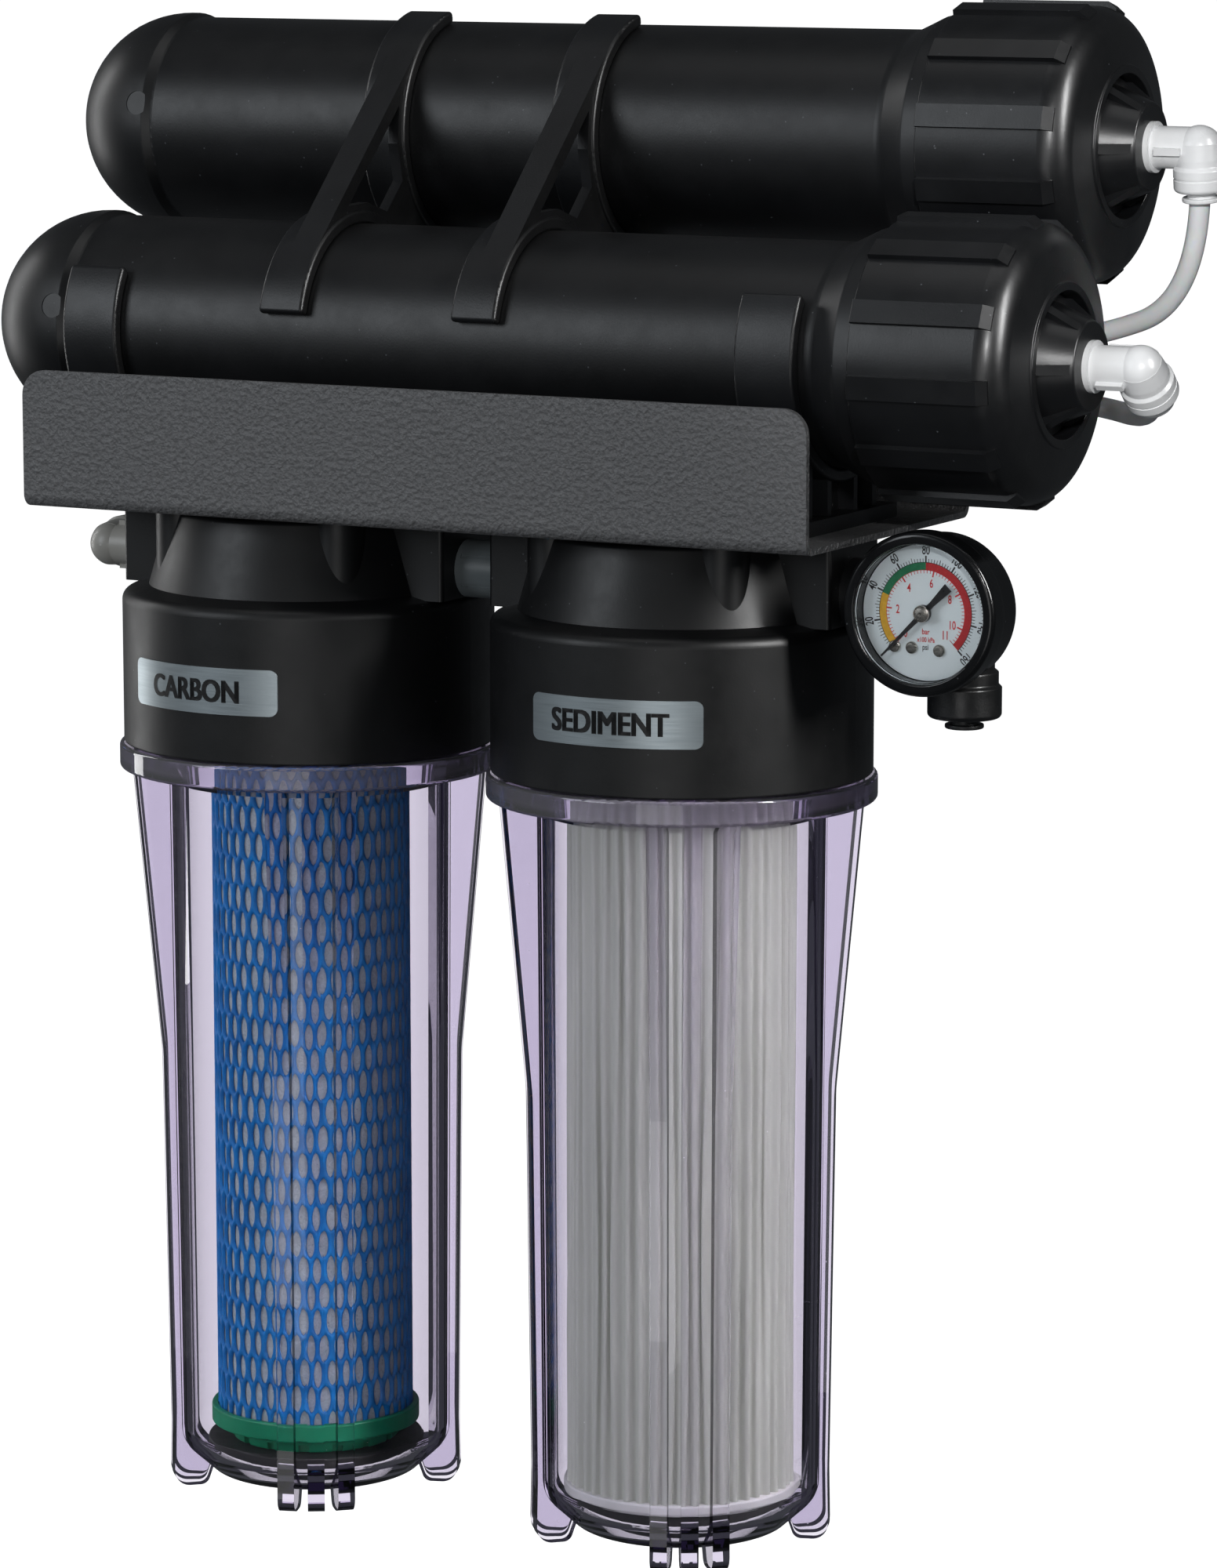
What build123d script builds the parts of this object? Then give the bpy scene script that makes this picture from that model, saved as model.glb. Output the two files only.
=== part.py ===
"""Wall-hung reverse osmosis unit: two canister pre-filters under a folded steel bracket, two
membrane housings clipped above it, a pressure gauge on the inlet and quarter-inch tubing.

Units are millimetres. +X runs along the membrane housings towards their screw caps, +Y points back
to the wall and +Z is up. The origin is on the rear face of the bracket's back plate, midway between
its two wall holes.
"""
import os
from math import atan2, cos, degrees, pi, radians, sin, tan

from build123d import *

# ---- driving dimensions -------------------------------------------------------------------------
# bracket
bracket_length = 273.0
bracket_depth = 114.5
plate_t = 2.0
lip_height = 43.0
lip_corner_r = 8.0
back_height = 50.0
wall_hole_r = 3.25
wall_hole_spacing = 200.0
wall_hole_above_shelf = 32.0

# canister housings (standard 10 inch)
canister_pitch = 133.5
head_r = 59.0
skirt_height = 48.0
head_height = 76.0
port_height = 58.0
port_reach = 58.5
port_bore_r = 6.6
head_screw_offset = 29.0
mouth_r = 50.6
flange_r = 60.4
flange_t = 8.2
sump_depth = 239.0
sump_floor = 3.4
rib_bearing = -59.0
label_height = 14.5
label_width = 54.8
label_corner_r = 2.4

# cartridges
cartridge_length = 254.0
cartridge_top = 26.0
carbon_r = 31.0
carbon_cap_r = 33.6
carbon_cap_height = 11.0
carbon_cap_inset = 7.5
pleat_r = 36.0
pleat_count = 60

# membrane housings
tube_r = 34.0
tube_wall = 3.5
dome_r = 35.4
dome_x = -139.5
shoulder_x = 126.0
nut_x = 142.0
nut_length = 51.0
nut_r = 42.0
nut_bar_count = 12
lower_nut_phase = 7.0
upper_nut_phase = -13.5
tube_above_shelf = 52.0
upper_back = 64.5
upper_rise = 60.8
upper_shift = -9.0
outlet_tilts = (0.0, -30.0)
outlet_tip = 45.0
outlet_hole_r = 5.2

# clips
clip_t = 4.0
clip_gap = 0.1
shelf_clip_x = (-123.7, 112.8)
shelf_clip_width = 19.5
shelf_clip_wrap = 123.0
double_clip_x = (-54.0, 14.0)
double_clip_width = 15.5
clip_wrap = 124.0
strut_side = (-2.5, 7.0)
web_t = 3.5

# tubing and push-in fittings
hose_r = 3.175
hose_bore_r = 2.15
lower_turn = 47.0
upper_turn = 8.0
y_fitting = (112.0, 22.0, 12.0)
y_spread = 7.2

# pressure gauge
gauge_r = 24.5
gauge_x = 162.0
gauge_face_forward = 34.0
needle_zero = 225.0

# ---- values that follow from them ---------------------------------------------------------------
shelf_z = -wall_hole_above_shelf
mouth_z = shelf_z - head_height
front_y = -bracket_depth
head_y = -bracket_depth / 2 - 0.75
head_x = canister_pitch / 2
port_z = mouth_z + port_height
lower_axis = (head_y, shelf_z + plate_t + tube_above_shelf)
upper_axis = (lower_axis[0] + upper_back, lower_axis[1] + upper_rise)
axis_gap = (upper_back ** 2 + upper_rise ** 2) ** 0.5
lean = degrees(atan2(upper_rise, upper_back))
cartridge_bottom = cartridge_top - cartridge_length
nut_end = nut_x + nut_length
mouth = nut_x + 25.0
outlet_x = dome_x - 3.0
boss_end = nut_end + 8.8
elbow_reach = 15.5
leg_length = 13.0
seat_depth = 10.0


# ---- helpers ------------------------------------------------------------------------------------
def profile(points):
    """A closed outline; a corner given with a third value is rounded to that radius."""
    face = make_face(Polyline(*[point[:2] for point in points], close=True))
    for point in points:
        if len(point) == 3:
            corner = face.vertices().sort_by_distance(Vector(point[0], point[1], 0))[0]
            face = fillet(corner, point[2])
    return face


def turned(points):
    """A solid of revolution about Z from (radius, height) points."""
    return revolve(Plane.XZ * profile(points), Axis.Z)


def rod(radius, low, high):
    """A cylinder on the Z axis from one height to another."""
    return Pos(0, 0, (low + high) / 2) * Cylinder(radius, high - low)


def block(low, high):
    """A box between two corners."""
    size = [b - a for a, b in zip(low, high)]
    middle = [(a + b) / 2 for a, b in zip(low, high)]
    return Pos(*middle) * Box(*size)


def ring_of(shape, count, start=0.0):
    """Copies of a shape spaced evenly round the Z axis."""
    return [Rot(0, 0, start + 360 / count * step) * shape for step in range(count)]


def along_x(shape, x=0.0, axis=(0.0, 0.0)):
    """Lay a shape built on Z along +X, on a line at the given (y, z)."""
    return Pos(x, axis[0], axis[1]) * Rot(0, 90, 0) * shape


def group(shapes):
    """Several solids kept apart in one node."""
    return Compound(children=[solid for shape in shapes for solid in shape.solids()])


# ---- bracket ------------------------------------------------------------------------------------
def make_bracket():
    """Folded steel channel: front lip, shelf and taller back plate."""
    half = bracket_length / 2
    top_lip = shelf_z + lip_height
    top_back = shelf_z + back_height
    outer = profile([(front_y, top_lip), (front_y, shelf_z, 4), (0, shelf_z, 4), (0, top_back),
                     (-plate_t, top_back), (-plate_t, shelf_z + plate_t, 2),
                     (front_y + plate_t, shelf_z + plate_t, 2), (front_y + plate_t, top_lip)])
    channel = extrude(Plane.YZ * outer, half, both=True)
    for x in (-half, half):
        for y, z in ((front_y + plate_t / 2, top_lip), (-plate_t / 2, top_back)):
            corner = channel.edges().filter_by(Axis.Y).sort_by_distance(Vector(x, y, z))[0]
            channel = fillet(corner, lip_corner_r)
    for x in (-wall_hole_spacing / 2, wall_hole_spacing / 2):
        channel -= Pos(x, -plate_t / 2, 0) * Rot(90, 0, 0) * Cylinder(wall_hole_r, 3 * plate_t)
    for x, y in head_screw_points():
        channel -= Pos(x, y, shelf_z + plate_t / 2) * Cylinder(2.6, 3 * plate_t)
    for x, y in clip_screw_points():
        channel -= Pos(x, y, shelf_z + plate_t / 2) * Cylinder(2.2, 3 * plate_t)
    return channel


def head_screw_points():
    """The four screws that hang each head from the shelf."""
    return [(side * head_x + dx * head_screw_offset, head_y + dy * head_screw_offset)
            for side in (-1, 1) for dx in (-1, 1) for dy in (-1, 1)]


def clip_screw_points():
    """The two screws through the foot of each shelf clip."""
    return [(x, head_y + dy * 24.0) for x in shelf_clip_x for dy in (-1, 1)]


def make_head_screws():
    """Pan-head screws through the shelf into the heads."""
    shank = rod(2.4, -12, plate_t)
    pan = turned([(0, plate_t), (4.8, plate_t), (4.8, plate_t + 3.2, 1.6), (0, plate_t + 3.2)])
    drive = block((-2.6, -0.5, plate_t + 1.6), (2.6, 0.5, plate_t + 4))
    screw = shank + pan - drive - Rot(0, 0, 90) * drive
    return group([Pos(x, y, shelf_z) * screw for x, y in head_screw_points()])


def make_clip_screws():
    """Screws up through the shelf into the feet of the shelf clips."""
    shank = rod(2.0, 0, plate_t + 3)
    pan = turned([(0, -2.4), (4.0, -2.4, 1.2), (4.0, 0), (0, 0)])
    drive = block((-2.2, -0.45, -3), (2.2, 0.45, -1.2))
    screw = shank + pan - drive - Rot(0, 0, 90) * drive
    return group([Pos(x, y, shelf_z) * screw for x, y in clip_screw_points()])


# ---- canister heads -----------------------------------------------------------------------------
def make_head(side):
    """Canister head: skirt over the sump thread, conical neck, port blocks and four screw lobes."""
    body = turned([(0, 0), (head_r, 0, 0.8), (head_r, skirt_height, 3.5), (53, skirt_height + 1.6, 1.5),
                   (50.5, skirt_height + 2.2), (43.8, head_height - 2, 1.5), (0, head_height - 2)])
    ports = block((-port_reach, -17, skirt_height + 1), (port_reach, 17, head_height - 2))
    ports = fillet(ports.edges().filter_by(Axis.Z), 1.5)
    lobes = [Pos(dx * head_screw_offset, dy * head_screw_offset, 0) * rod(8, skirt_height - 2, head_height)
             for dx in (-1, 1) for dy in (-1, 1)]
    body = body + ports + rod(30, head_height - 4, head_height)
    for lobe in lobes:
        body += lobe
    for dx in (-1, 1):
        for dy in (-1, 1):
            hole = Pos(dx * head_screw_offset, dy * head_screw_offset, 0)
            body -= hole * rod(2.45, head_height - 14, head_height + 1)
    # the threaded mouth, the water space above it and the sealing ring on its ceiling
    cavity = turned([(0, -1), (51.3, -1), (51.3, 9), (mouth_r, 9), (mouth_r, 24.5), (42, 24.5),
                     (42, 30), (0, 30)])
    seal_ring = turned([(12.5, 28.6), (14, 27.2), (15.5, 28.6), (15.5, 31), (12.5, 31)])
    body = body - cavity + seal_ring
    # water ways: centre to one port, annulus to the other
    body -= rod(8, 29, port_height + 6)
    body -= along_x(rod(5, -port_reach + 8, 0), 0, (0, port_height))
    body -= along_x(rod(5, 33, port_reach - 8), 0, (0, port_height))
    body -= Pos(36, 0, 0) * rod(4.5, 22, port_height)
    for facing in (0, 180):
        bore = along_x(rod(port_bore_r, port_reach - 16, port_reach + 1), 0, (0, port_height))
        body -= Rot(0, 0, facing) * bore
    return Pos(side * head_x, head_y, mouth_z) * body


def make_port_nipple():
    """Double male nipple joining the two heads, with a round collar that fills the gap."""
    gap = canister_pitch / 2 - port_reach
    nipple = rod(9.2, -gap, gap) + rod(port_bore_r - 0.1, -gap - 11, gap + 11)
    for angle in range(0, 360, 60):
        nipple -= Rot(0, 0, angle) * block((8.9, -0.6, -gap * 0.8), (10, 0.6, gap * 0.8))
    nipple -= rod(4, -gap - 12, gap + 12)
    return along_x(nipple, 0, (head_y, port_z))


def make_label(side, turn):
    """Thin foil label with rounded corners, bent round a head's skirt and turned from the front."""
    low = 15.5
    high = low + label_height
    shell = rod(head_r + 0.35, low, high) - rod(head_r + 0.05, low - 1, high + 1)
    outline = extrude(RectangleRounded(label_width, label_height, label_corner_r), head_r + 5)
    label = shell & (Pos(0, 0, (low + high) / 2) * Rot(90, 0, 0) * outline)
    return Pos(side * head_x, head_y, mouth_z) * Rot(0, 0, turn) * label


# ---- sumps --------------------------------------------------------------------------------------
def sump_rib():
    """One radial fin with the rounded lug below it, on the +X side."""
    foot = -sump_depth - 4
    outline = profile([(42, -flange_t + 1), (56.5, -flange_t + 1), (48.2, -100, 60), (46.8, foot + 21),
                       (47.2, foot, 5), (36.5, foot, 3), (34, foot + 7), (38, foot + 21),
                       (42, foot + 28)])
    return extrude(Plane.XZ * outline, 2.7, both=True)


def make_sump(side):
    """Clear canister bowl: threaded neck, flange, four groups of three fins and a rounded bottom."""
    shell = turned([(0, -sump_depth), (33, -sump_depth, 4), (43.8, -sump_depth + 10, 9),
                    (45.2, -flange_t - 4), (50, -flange_t - 0.2, 2), (flange_r, -flange_t, 1.2),
                    (flange_r, -0.25, 1.2), (49.9, -0.25), (49.9, 2.6), (47.2, 2.6), (47.2, 6.6),
                    (49.9, 6.6), (49.9, 22, 1), (0, 22)])
    floor = -sump_depth + sump_floor
    hollow = turned([(0, floor), (31.5, floor, 4), (40.2, floor + 7.6, 7), (41.2, -flange_t - 4, 3),
                     (44.2, 4, 3), (44.2, 24), (0, 24)])
    fins = []
    for bearing in range(4):
        for step in (-1, 0, 1):
            fins.append(Rot(0, 0, rib_bearing + 90 * bearing + 11.9 * step) * sump_rib())
    for fin in fins:
        shell += fin
    return Pos(side * head_x, head_y, mouth_z) * (shell - hollow)


def make_sump_seal(side):
    """Ring in the groove round the sump's neck."""
    return Pos(side * head_x, head_y, mouth_z + 4.6) * Torus(49.2, 1.75)


def make_base_pad(side):
    """Black rubber pad that the cartridge stands on."""
    floor = -sump_depth + sump_floor + 0.3
    pad = turned([(13, floor), (28.5, floor), (34.8, cartridge_bottom - 3.5, 1),
                  (34.8, cartridge_bottom, 0.5), (13, cartridge_bottom)])
    return Pos(side * head_x, head_y, mouth_z) * pad


# ---- carbon cartridge ---------------------------------------------------------------------------
def make_carbon_caps():
    """The two green end caps of the carbon cartridge: a notched ring under a wider rim."""
    cap = turned([(13.6, 0), (27, 0, 1), (27.6, 4), (carbon_cap_r, 5.2, 0.8),
                  (carbon_cap_r, carbon_cap_height, 0.6), (carbon_r + 0.8, carbon_cap_height),
                  (carbon_r + 0.8, carbon_cap_inset), (13.6, carbon_cap_inset)])
    for notch in ring_of(block((25.5, -1.5, -1), (30, 1.5, 2.6)), 16):
        cap -= notch
    low = Pos(0, 0, cartridge_bottom) * cap
    high = Pos(0, 0, cartridge_top) * Rot(180, 0, 0) * cap
    return place_carbon(group([low, high]))


def place_carbon(shape):
    return Pos(-head_x, head_y, mouth_z) * shape


def carbon_tube(inner, outer):
    """A sleeve of the carbon cartridge between its end caps."""
    low = cartridge_bottom + carbon_cap_inset
    high = cartridge_top - carbon_cap_inset
    return place_carbon(rod(outer, low, high) - rod(inner, low - 1, high + 1))


def make_gasket(side):
    """Flat rubber ring on the top end of a cartridge."""
    ring = rod(19, 0, 1.2) - rod(10, -1, 2)
    top = Pos(0, 0, cartridge_top) * ring
    return Pos(side * head_x, head_y, mouth_z) * top


# ---- sediment cartridge -------------------------------------------------------------------------
def make_pleated_media():
    """Pleated paper sleeve: a star-shaped ring of folds."""
    points = []
    for fold in range(2 * pleat_count):
        angle = pi * fold / pleat_count
        radius = pleat_r if fold % 2 == 0 else pleat_r - 7.5
        points.append((radius * cos(angle), radius * sin(angle)))
    low = cartridge_bottom + 4
    star = extrude(make_face(Polyline(*points, close=True)), cartridge_length - 8)
    return place_sediment(Pos(0, 0, low) * star - rod(17.2, low - 1, cartridge_top))


def place_sediment(shape):
    return Pos(head_x, head_y, mouth_z) * shape


def make_pleat_core():
    """Perforated core tube of the pleated cartridge."""
    low = cartridge_bottom + 4
    high = cartridge_top - 4
    core = rod(17, low, high) - rod(14.5, low - 1, high + 1)
    hole = Rot(0, 90, 0) * Cylinder(2.5, 40)
    level = low + 16
    while level < high - 10:
        for turn in (0, 90):
            core -= Pos(0, 0, level) * Rot(0, 0, turn) * hole
        level += 24
    return place_sediment(core)


def make_pleat_caps():
    """Moulded end rings that close the pleats."""
    cap = turned([(14.6, 0), (pleat_r + 0.6, 0, 1.5), (pleat_r + 0.6, 4, 0.6), (14.6, 4)])
    low = Pos(0, 0, cartridge_bottom) * cap
    high = Pos(0, 0, cartridge_top) * Rot(180, 0, 0) * cap
    return place_sediment(group([low, high]))


# ---- membrane housings --------------------------------------------------------------------------
def make_membrane_housing(axis, shift):
    """Tube with a domed closed end, a shoulder and threaded mouth, and two ports at the back."""
    neck_r = 37.0
    body = turned([(0, dome_x), (dome_r, dome_x), (dome_r, dome_x + 2, 1), (tube_r, dome_x + 5, 2),
                   (tube_r, shoulder_x, 6), (38.6, nut_x - 6, 2), (39.0, nut_x - 0.6, 0.6),
                   (neck_r, nut_x - 0.6), (neck_r, mouth), (0, mouth)])
    body += Pos(0, 0, dome_x) * (Sphere(dome_r) & block((-50, -50, -50), (50, 50, 0)))
    body -= rod(tube_r - tube_wall, dome_x, mouth + 1)
    body -= Pos(0, 0, dome_x) * Sphere(tube_r - tube_wall)
    body -= rod(31.6, mouth - 16, mouth + 1)
    body = Pos(shift, *axis) * Rot(0, 90, 0) * body
    # round, shallow moulding mark on the front of the dome
    body -= Pos(dome_x + shift, *axis) * Rot(78, 0, -10) * rod(3.9, dome_r - 0.45, dome_r + 2)
    for tilt in outlet_tilts:
        boss = rod(8.2, tube_r - 6, outlet_tip) - rod(outlet_hole_r, tube_r - 8, outlet_tip + 1)
        body += port_place(axis, shift, tilt) * boss
        body -= port_place(axis, shift, tilt) * rod(outlet_hole_r, 20, outlet_tip + 1)
    return body


def port_place(axis, shift, tilt):
    """Where an outlet port points: out of the back of the tube, turned down by the tilt."""
    return Pos(outlet_x + shift, *axis) * Rot(tilt - 90, 0, 0)


def make_end_plug(axis, shift):
    """Stopper in the tube's mouth; its ribbed cone comes out through the nut and takes the elbow."""
    step = nut_end - 8.2
    floor = nut_end - 4.0
    plug = turned([(0, mouth - 14), (31.4, mouth - 14), (31.4, mouth - 9.4), (29.2, mouth - 9.4),
                   (29.2, mouth - 5.6), (31.4, mouth - 5.6), (31.4, mouth + 0.1), (37, mouth + 0.1, 0.8),
                   (37, mouth + 6, 1), (31, mouth + 6), (24.5, step), (20.9, step),
                   (20.9, floor), (18.6, floor), (13.4, boss_end, 0.8), (0, boss_end)])
    gusset = profile([(10, floor - 1), (20.9, floor - 1), (20.9, nut_end - 1.8), (13.6, boss_end - 0.8),
                      (10, boss_end - 0.8)])
    web = extrude(Plane.XZ * gusset, 1.5, both=True)
    for rib in ring_of(web, 6, 30):
        plug += rib
    plug -= rod(27, mouth - 15, mouth + 3) - rod(15, mouth - 16, mouth + 4)
    plug -= rod(9.5, mouth - 15, mouth - 3)
    plug -= rod(2.5, mouth - 15, boss_end + 1)
    plug -= rod(5.4, boss_end - 9, boss_end + 1)
    return along_x(plug, shift, axis)


def make_plug_seal(axis, shift):
    """Ring in the stopper's groove."""
    return along_x(Torus(30.35, 1.15), mouth - 7.5 + shift, axis)


def make_cap_nut(axis, shift, phase):
    """Screw cap: twelve grip bars, a domed end and a round opening with a raised lip."""
    nut = turned([(37.35, nut_x), (nut_r, nut_x, 0.5), (nut_r, nut_end - 3.5, 9), (24.6, nut_end, 0.4),
                  (24.6, nut_end + 0.7, 0.3), (22, nut_end + 0.7, 0.3), (21.4, nut_end - 6),
                  (25, nut_end - 6), (33, mouth + 6.4), (37.35, mouth + 6.4)])
    bar = profile([(nut_r - 1.6, nut_x + 0.4), (nut_r + 1.6, nut_x + 0.4, 0.4), (nut_r + 1.6, nut_end - 9),
                   (nut_r - 0.6, nut_end - 6.2), (nut_r - 1.6, nut_end - 6.2)])
    grip = extrude(Plane.XZ * bar, 3.5, both=True)
    for bar_solid in ring_of(grip, nut_bar_count, phase):
        nut += bar_solid
    return along_x(nut, shift, axis)


def make_membrane(axis, shift):
    """Spiral-wound element with its centre tube running through both ends."""
    low = -118.0
    high = nut_x + 5.0
    roll = rod(27, low, high)
    ends = rod(28.2, low, low + 8) + rod(28.2, high - 10, high)
    centre = rod(8.5, low - 12, high + 8) - rod(5.5, low - 13, high + 9)
    element = roll + ends + centre - rod(5.5, low - 13, high + 9)
    element -= rod(29, high - 6.5, high - 3.5) - rod(26.6, high - 7, high - 3)
    return along_x(element, shift, axis)


def make_brine_seal(axis, shift):
    """Lipped rubber ring between the element's head and the tube wall."""
    high = nut_x + 5.0
    seal = turned([(26.7, high - 6.3), (29.0, high - 6.3), (30.3, high - 3.0), (29.6, high - 2.8),
                   (28.4, high - 3.7), (26.7, high - 3.7)])
    return along_x(seal, shift, axis)


# ---- clips --------------------------------------------------------------------------------------
def arc_band(radius, middle, half_angle, width):
    """A curved arm, clip_t thick outside the given radius, with rounded tips and outer edges."""
    ring = Circle(radius + clip_t) - Circle(radius)
    reach = 3 * radius
    start = radians(half_angle)
    gap = make_face(Polyline((0, 0), (reach * cos(start), reach * sin(start)),
                             (-2 * reach, reach * sin(start)), (-2 * reach, -reach * sin(start)),
                             (reach * cos(start), -reach * sin(start)), close=True))
    outline = ring - gap
    outline = fillet(outline.vertices(), 1.5)
    band = extrude(outline, width / 2, both=True)
    outer_edges = [edge for edge in band.edges().filter_by(GeomType.CIRCLE)
                   if abs(edge.radius - radius - clip_t) < 0.01]
    return Rot(0, 0, middle) * fillet(outer_edges, 1.0)


def across_housings(x):
    """Plane across the housings at the lower axis: its x is +Y and its y is +Z, looking along +X."""
    return Plane(origin=(x, *lower_axis), x_dir=(0, 1, 0), z_dir=(1, 0, 0))


def make_shelf_clip(x):
    """Snap clip for the lower housing, on a ribbed foot screwed to the shelf."""
    inner = tube_r + clip_gap
    base_z = -tube_above_shelf
    clip = arc_band(inner, -90, shelf_clip_wrap, shelf_clip_width)
    foot = Rectangle(64, 4.5)
    clip += extrude(Pos(0, base_z + 2.25) * foot, shelf_clip_width / 2 + 1.5, both=True)
    stem = Pos(0, (base_z - inner + 3) / 2) * Rectangle(26, -base_z - inner + 3)
    clip += extrude(stem - Circle(inner + 1), 3, both=True)
    for y in (-22, -9, 9, 22):
        top = -(inner ** 2 - y ** 2) ** 0.5
        wall = Pos(y, (base_z + top) / 2) * Rectangle(2.6, top - base_z) - Circle(inner + 1)
        clip += extrude(wall, shelf_clip_width / 2 - 1.5, both=True)
    for y in (-24, 24):
        clip -= Pos(y, base_z + 1, 0) * Rot(90, 0, 0) * Cylinder(2.1, 6)
    return across_housings(x) * clip


def make_double_clip(x):
    """Two snap clips back to back, joined by a pair of struts and a thin web with two windows."""
    inner = tube_r + clip_gap
    outer = inner + clip_t
    # built with the line from the lower to the upper axis along the sketch's +x
    clip = arc_band(inner, 0, clip_wrap, double_clip_width)
    clip += Pos(axis_gap, 0) * arc_band(inner, 180, clip_wrap, double_clip_width)
    holes = Circle(inner + 1.2) + Pos(axis_gap, 0) * Circle(inner + 1.2)
    strut = Pos(axis_gap / 2, outer - 1.8) * Rectangle(axis_gap, 3.6)
    web = Pos(axis_gap / 2, 0) * Rectangle(axis_gap * 0.72, 2 * outer - 4) - holes
    for side in (-1, 1):
        window = [(22.5, 33.5), (66, 33.5), (57, 25.5), (51, 15), (37.6, 15), (31.6, 25.5)]
        web -= make_face(Polyline(*[(along, side * across) for along, across in window], close=True))
    clip += Pos(0, 0, strut_side[0]) * extrude(strut - holes, strut_side[1] - strut_side[0])
    clip += Pos(0, 0, strut_side[0]) * extrude(mirror(strut, Plane.XZ) - holes, strut_side[1] - strut_side[0])
    clip += Pos(0, 0, strut_side[1] - web_t) * extrude(web, web_t)
    return across_housings(x) * Rot(0, 0, lean) * clip


# ---- push-in fittings ---------------------------------------------------------------------------
def make_elbow():
    """Push-in elbow: the screwed leg comes from -X, the tube leg points down; bend at the origin."""
    leg = along_x(rod(6.4, -elbow_reach, 0)) + along_x(rod(7.8, -elbow_reach, -elbow_reach + 1.6))
    stub = along_x(rod(5.3, -elbow_reach - 8, -elbow_reach))
    tube_leg = turned([(0, 2), (6.8, 2), (7.4, -3), (7.4, -5, 0.4), (8.3, -6, 0.4), (8.3, -leg_length, 1.4),
                       (0, -leg_length)])
    groove = turned([(8.0, -9.2), (9, -9.2), (9, -8.4), (8.0, -8.4)])
    body = leg + stub + Sphere(7.0) + tube_leg - groove
    for side in (-1, 1):
        tab = block((-elbow_reach + 3.5, side * 6.9 - 0.9, -1.1), (-elbow_reach + 12, side * 6.9 + 0.9, 1.1))
        body += tab
    body -= along_x(rod(2.1, -elbow_reach - 9, 0)) + rod(2.1, -leg_length, 0)
    body -= rod(hose_r + 0.08, -leg_length - 1, -leg_length + seat_depth)
    body -= rod(4.5, -leg_length - 1, -leg_length + 7)
    return body


def make_collet():
    """Release ring round the tube, its flange standing proud of the fitting's mouth."""
    sleeve = rod(4.35, -leg_length - 1.9, -leg_length + 5)
    ring = turned([(0, -leg_length - 3.2), (5.9, -leg_length - 3.2, 0.5), (5.9, -leg_length - 1.8, 0.4),
                   (0, -leg_length - 1.8)])
    return sleeve + ring - rod(hose_r + 0.12, -leg_length - 5, -leg_length + 6)


def elbow_place(end, axis, turn):
    """Set an elbow against a boss face at x = end, its tube leg turned from straight down."""
    return Pos(end + elbow_reach, *axis) * Rot(turn, 0, 0)


lower_elbow_at = elbow_place(boss_end, lower_axis, lower_turn)
upper_elbow_at = elbow_place(boss_end + upper_shift, upper_axis, upper_turn)
outlet_end = -head_x - port_reach
outlet_at = Pos(outlet_end - elbow_reach, head_y, port_z) * Rot(0, 0, 180) * Rot(-90, 0, 0)


def tube_leg_point(turn, distance):
    """Offset from an elbow's bend along its turned tube leg."""
    return (0.0, distance * sin(radians(turn)), -distance * cos(radians(turn)))


# ---- tubing -------------------------------------------------------------------------------------
def bend_radii(points):
    """Bend radius at each inner point: 0.45 of the shorter run over the tangent of half the turn."""
    radii = []
    for before, at, after in zip(points, points[1:], points[2:]):
        arriving = Vector(*at) - Vector(*before)
        leaving = Vector(*after) - Vector(*at)
        half_turn = radians(arriving.get_angle(leaving)) / 2
        radii.append(0.45 * min(arriving.length, leaving.length) / tan(half_turn))
    return radii


def make_hose(name, points):
    """Tube of constant section: straight runs joined by tangent bends."""
    radii = bend_radii(points)
    path = FilletPolyline(*points, radius=radii)
    section = Plane(origin=path @ 0, z_dir=path % 0) * (Circle(hose_r) - Circle(hose_bore_r))
    tube = sweep(section, path=path)
    expected = pi * (hose_r ** 2 - hose_bore_r ** 2) * path.length
    print(name, "length", round(path.length, 1), "radii", [round(r, 1) for r in radii],
          "volume", round(tube.volume), "expected", round(expected))
    return tube


def lower_hose_points():
    x = boss_end + elbow_reach
    y, z = lower_axis
    start = tube_leg_point(lower_turn, leg_length - seat_depth)
    corner = tube_leg_point(lower_turn, 27.0)
    gap_y, gap_z = y_fitting[1:]
    return [(x, y + start[1], z + start[2]), (x, y + corner[1], z + corner[2]),
            (166.0, gap_y - 1.0, gap_z - y_spread - 1.5), (y_fitting[0] + 22, gap_y, gap_z - y_spread)]


def upper_hose_points():
    x = boss_end + elbow_reach + upper_shift
    y, z = upper_axis
    start = tube_leg_point(upper_turn, leg_length - seat_depth)
    corner = tube_leg_point(upper_turn, 46.0)
    gap_y, gap_z = y_fitting[1:]
    return [(x, y + start[1], z + start[2]), (x, y + corner[1], z + corner[2]),
            (162.0, gap_y + 1.0, gap_z + y_spread + 1.5), (y_fitting[0] + 22, gap_y, gap_z + y_spread)]


def feed_hose_points():
    x = outlet_end - elbow_reach
    gap_x, gap_y, gap_z = y_fitting
    return [(x, head_y + leg_length - seat_depth, port_z), (x, 12.0, port_z),
            (-66.0, 27.0, port_z + 6), (18.0, 25.0, gap_z - 8), (70.0, gap_y, gap_z - 1),
            (gap_x - 22, gap_y, gap_z)]


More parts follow.
